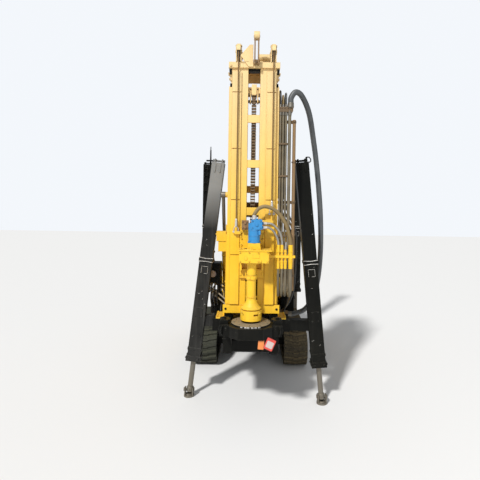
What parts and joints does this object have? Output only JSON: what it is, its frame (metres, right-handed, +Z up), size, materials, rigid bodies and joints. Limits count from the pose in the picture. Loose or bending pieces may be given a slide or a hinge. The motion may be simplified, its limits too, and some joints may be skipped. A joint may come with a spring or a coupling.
{
  "type": "compact crawler rotary drilling rig",
  "caption": "Compact rotary drilling rig on rubber tracks with a tilting yellow mast, a sliding rotary head and four black jack legs.",
  "frame": {"origin": "on the ground in the middle of the machine's box", "axes": "+X to the right seen from the mast end, +Y away from the mast end, +Z up"},
  "size_m": [1.844, 3.78, 4.131],
  "materials": {
    "yellow_paint": "worn satin paint with dust and rust at the edges",
    "black_paint": "worn, dusty satin paint",
    "blue_paint": "satin paint",
    "engine_grey": "oily satin paint",
    "bare_steel": "ground and dusty",
    "rusty_steel": "brown rust",
    "wire_rope": "greased wire rope",
    "rubber": "dusty matt rubber",
    "hose_rubber": "dusty matt hose cover"
  },
  "bodies": {
    "root": {"track_left": "rubber", "track_right": "rubber", "track_frame_left": "black_paint", "track_frame_right": "black_paint", "car_body": "black_paint", "chassis": "black_paint", "deck": "black_paint", "drill_table": "black_paint", "cross_tubes": "black_paint", "mast_stand": "yellow_paint", "mast_rest": "yellow_paint", "engine_block": "engine_grey", "bonnet": "yellow_paint", "radiator": "black_paint", "exhaust": "rusty_steel", "hydraulic_tank": "yellow_paint", "fuel_tank": "black_paint", "control_console": "black_paint", "air_manifold": "rusty_steel", "valve_bank": "engine_grey", "tool_box": "black_paint", "air_hose": "hose_rubber"},
    "mast": {"mast_columns": "yellow_paint", "mast_foot": "yellow_paint", "mast_crown": "yellow_paint", "crown_sheaves": "bare_steel", "jib": "rusty_steel", "winch": "bare_steel", "feed_chain": "rusty_steel", "chain_yoke": "yellow_paint", "guide_cup": "yellow_paint", "hose_stand": "rusty_steel", "hoist_ropes": "wire_rope", "head_hoses": "hose_rubber"},
    "head": {"carriage": "yellow_paint", "gearbox": "yellow_paint", "rotary_motor": "blue_paint", "hose_bracket": "yellow_paint", "rope_lug": "rusty_steel", "motor_hoses": "hose_rubber"},
    "spindle": {"spindle": "yellow_paint"},
    "door_left": {"door_left": "yellow_paint"},
    "door_right": {"door_right": "yellow_paint"},
    "leg_near_left": {"leg_near_left": "black_paint"},
    "jack_near_left": {"jack_near_left": "bare_steel"},
    "leg_near_right": {"leg_near_right": "black_paint"},
    "jack_near_right": {"jack_near_right": "bare_steel"},
    "leg_far_left": {"leg_far_left": "black_paint"},
    "jack_far_left": {"jack_far_left": "bare_steel"},
    "leg_far_right": {"leg_far_right": "black_paint"},
    "jack_far_right": {"jack_far_right": "bare_steel"},
    "lift_barrel_left": {"lift_barrel_left": "yellow_paint"},
    "lift_rod_left": {"lift_rod_left": "bare_steel"},
    "lift_barrel_right": {"lift_barrel_right": "yellow_paint"},
    "lift_rod_right": {"lift_rod_right": "bare_steel"}
  },
  "joints": [
    {"name": "mast_tilt", "type": "hinge", "parent": "root", "child": "mast", "pos_m": [0, -1.1, 1.9], "axis": [-1, 0, 0], "range_deg": [0, 88], "deforming": ["air_hose"]},
    {"name": "head_feed", "type": "slide", "parent": "mast", "child": "head", "axis": [0, 0, 1], "range_m": [0, 1.38], "deforming": ["hoist_ropes", "head_hoses"]},
    {"name": "spindle_turn", "type": "hinge", "parent": "head", "child": "spindle", "pos_m": [0, -1.66, 1.5], "axis": [0, 0, 1], "continuous": true},
    {"name": "leg_out_near_left", "type": "slide", "parent": "root", "child": "leg_near_left", "axis": [-1, 0, 0], "range_m": [0, 0.35]},
    {"name": "jack_near_left", "type": "slide", "parent": "leg_near_left", "child": "jack_near_left", "axis": [0.1122, 0, 0.9937], "range_m": [-0.9, 0.32]},
    {"name": "leg_out_near_right", "type": "slide", "parent": "root", "child": "leg_near_right", "axis": [1, 0, 0], "range_m": [0, 0.35]},
    {"name": "jack_near_right", "type": "slide", "parent": "leg_near_right", "child": "jack_near_right", "axis": [-0.0984, 0, 0.9951], "range_m": [-0.9, 0.32]},
    {"name": "leg_out_far_left", "type": "slide", "parent": "root", "child": "leg_far_left", "axis": [-1, 0, 0], "range_m": [0, 0.35]},
    {"name": "jack_far_left", "type": "slide", "parent": "leg_far_left", "child": "jack_far_left", "axis": [0, 0, 1], "range_m": [-0.64, 0.57]},
    {"name": "leg_out_far_right", "type": "slide", "parent": "root", "child": "leg_far_right", "axis": [1, 0, 0], "range_m": [0, 0.35]},
    {"name": "jack_far_right", "type": "slide", "parent": "leg_far_right", "child": "jack_far_right", "axis": [0, 0, 1], "range_m": [-0.64, 0.57]},
    {"name": "lift_swing_left", "type": "hinge", "parent": "root", "child": "lift_barrel_left", "pos_m": [-0.341, -0.4, 1], "axis": [-1, 0, 0], "range_deg": [-1, 20]},
    {"name": "lift_stroke_left", "type": "slide", "parent": "lift_barrel_left", "child": "lift_rod_left", "axis": [0, -0.4722, 0.8815], "range_m": [-0.56, 0.01]},
    {"name": "lift_swing_right", "type": "hinge", "parent": "root", "child": "lift_barrel_right", "pos_m": [0.341, -0.4, 1], "axis": [-1, 0, 0], "range_deg": [-1, 20]},
    {"name": "lift_stroke_right", "type": "slide", "parent": "lift_barrel_right", "child": "lift_rod_right", "axis": [0, -0.4722, 0.8815], "range_m": [-0.56, 0.01]},
    {"name": "door_swing_left", "type": "hinge", "parent": "root", "child": "door_left", "pos_m": [-0.408, 0.6, 1.596], "axis": [0, 1, 0], "range_deg": [0, 80]},
    {"name": "door_swing_right", "type": "hinge", "parent": "root", "child": "door_right", "pos_m": [0.408, 0.6, 1.596], "axis": [0, -1, 0], "range_deg": [0, 80]}
  ],
  "couplings": [
    {"joint": "lift_swing_left", "follows": "mast_tilt", "ratio": 0.215},
    {"joint": "lift_stroke_left", "follows": "mast_tilt", "m_per_rad": -0.36},
    {"joint": "lift_swing_right", "follows": "mast_tilt", "ratio": 0.215},
    {"joint": "lift_stroke_right", "follows": "mast_tilt", "m_per_rad": -0.36}
  ]
}
